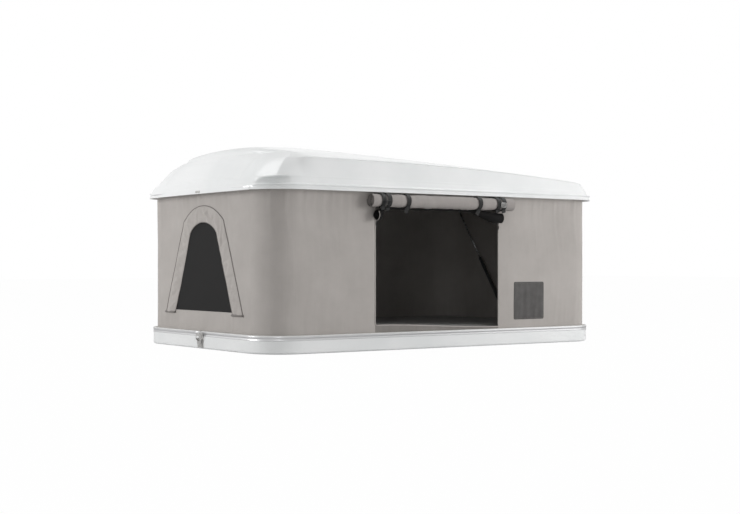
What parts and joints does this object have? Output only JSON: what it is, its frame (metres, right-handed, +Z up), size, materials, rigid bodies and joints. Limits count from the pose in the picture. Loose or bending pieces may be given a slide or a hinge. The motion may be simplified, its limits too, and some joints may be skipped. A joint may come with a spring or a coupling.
{
  "type": "hard-shell rooftop tent",
  "caption": "Hard-shell rooftop tent with a lifting roof, grey fabric walls, an open side door, arched end windows and end latches.",
  "frame": {"origin": "centre of the base tray's flat underside", "axes": "+X along the long side towards the low end of the roof, -Y towards the open door, +Z up"},
  "size_m": [2.15, 1.3765, 0.9971],
  "materials": {
    "white_gelcoat": "gloss white gelcoat on moulded glass fibre",
    "floor_laminate": "matt laminate",
    "anodised_trim": "satin anodised extrusion",
    "mattress_cover": "dark knitted cover",
    "grey_canvas": "warm grey coated canvas",
    "dark_patch": "bare dark grey sewn patch",
    "insect_net": "black knitted netting",
    "black_webbing": "black woven webbing",
    "black_steel": "black painted steel",
    "roof_lining": "dark felt lining",
    "bright_steel": "bright stainless steel"
  },
  "bodies": {
    "base": {"base_tray": "white_gelcoat", "floor_core": "floor_laminate", "floor_panel": "floor_laminate", "front_trim": "anodised_trim", "back_trim": "anodised_trim", "front_mount_rail": "anodised_trim", "back_mount_rail": "anodised_trim", "mattress": "mattress_cover", "front_wall": "grey_canvas", "back_wall": "grey_canvas", "left_wall": "grey_canvas", "right_wall": "grey_canvas", "blank_patch": "dark_patch", "back_door_flap": "grey_canvas", "left_window_surround": "grey_canvas", "right_window_surround": "grey_canvas", "left_window_net": "insect_net", "right_window_net": "insect_net", "left_spring_foot": "black_steel", "right_spring_foot": "black_steel", "left_front_gas_spring": "black_steel", "left_back_gas_spring": "black_steel", "right_front_gas_spring": "black_steel", "right_back_gas_spring": "black_steel", "left_latch_plate": "bright_steel", "right_latch_plate": "bright_steel"},
    "roof": {"roof_shell": "white_gelcoat", "roof_lining": "roof_lining", "roof_frame": "anodised_trim", "left_spring_heads": "black_steel", "right_spring_heads": "black_steel", "left_keeper": "bright_steel", "right_keeper": "bright_steel", "rolled_door_flap": "grey_canvas", "rolled_insect_net": "insect_net", "flap_straps": "black_webbing"},
    "left_lever": {"left_latch_lever": "bright_steel"},
    "left_bail": {"left_latch_bail": "bright_steel"},
    "right_lever": {"right_latch_lever": "bright_steel"},
    "right_bail": {"right_latch_bail": "bright_steel"}
  },
  "joints": [
    {"name": "roof_lift", "type": "slide", "parent": "base", "child": "roof", "axis": [0, 0, 1], "range_m": [-0.675, 0], "deforming": ["front_wall", "back_wall", "left_wall", "right_wall", "blank_patch", "back_door_flap", "left_window_surround", "right_window_surround", "left_window_net", "right_window_net", "left_front_gas_spring", "left_back_gas_spring", "right_front_gas_spring", "right_back_gas_spring", "rolled_door_flap", "rolled_insect_net", "flap_straps"]},
    {"name": "left_latch_swing", "type": "hinge", "parent": "base", "child": "left_lever", "pos_m": [-1.063, -0.02, 0.05], "axis": [0, 1, 0], "range_deg": [0, 100]},
    {"name": "left_bail_swing", "type": "hinge", "parent": "left_lever", "child": "left_bail", "pos_m": [-1.063, -0.02, 0.044], "axis": [0, 1, 0], "range_deg": [-100, 0]},
    {"name": "right_latch_swing", "type": "hinge", "parent": "base", "child": "right_lever", "pos_m": [1.063, -0.02, 0.05], "axis": [0, -1, 0], "range_deg": [0, 100]},
    {"name": "right_bail_swing", "type": "hinge", "parent": "right_lever", "child": "right_bail", "pos_m": [1.063, -0.02, 0.044], "axis": [0, -1, 0], "range_deg": [-100, 0]}
  ],
  "couplings": [
    {"joint": "left_bail_swing", "follows": "left_latch_swing", "ratio": -1},
    {"joint": "right_bail_swing", "follows": "right_latch_swing", "ratio": -1}
  ]
}
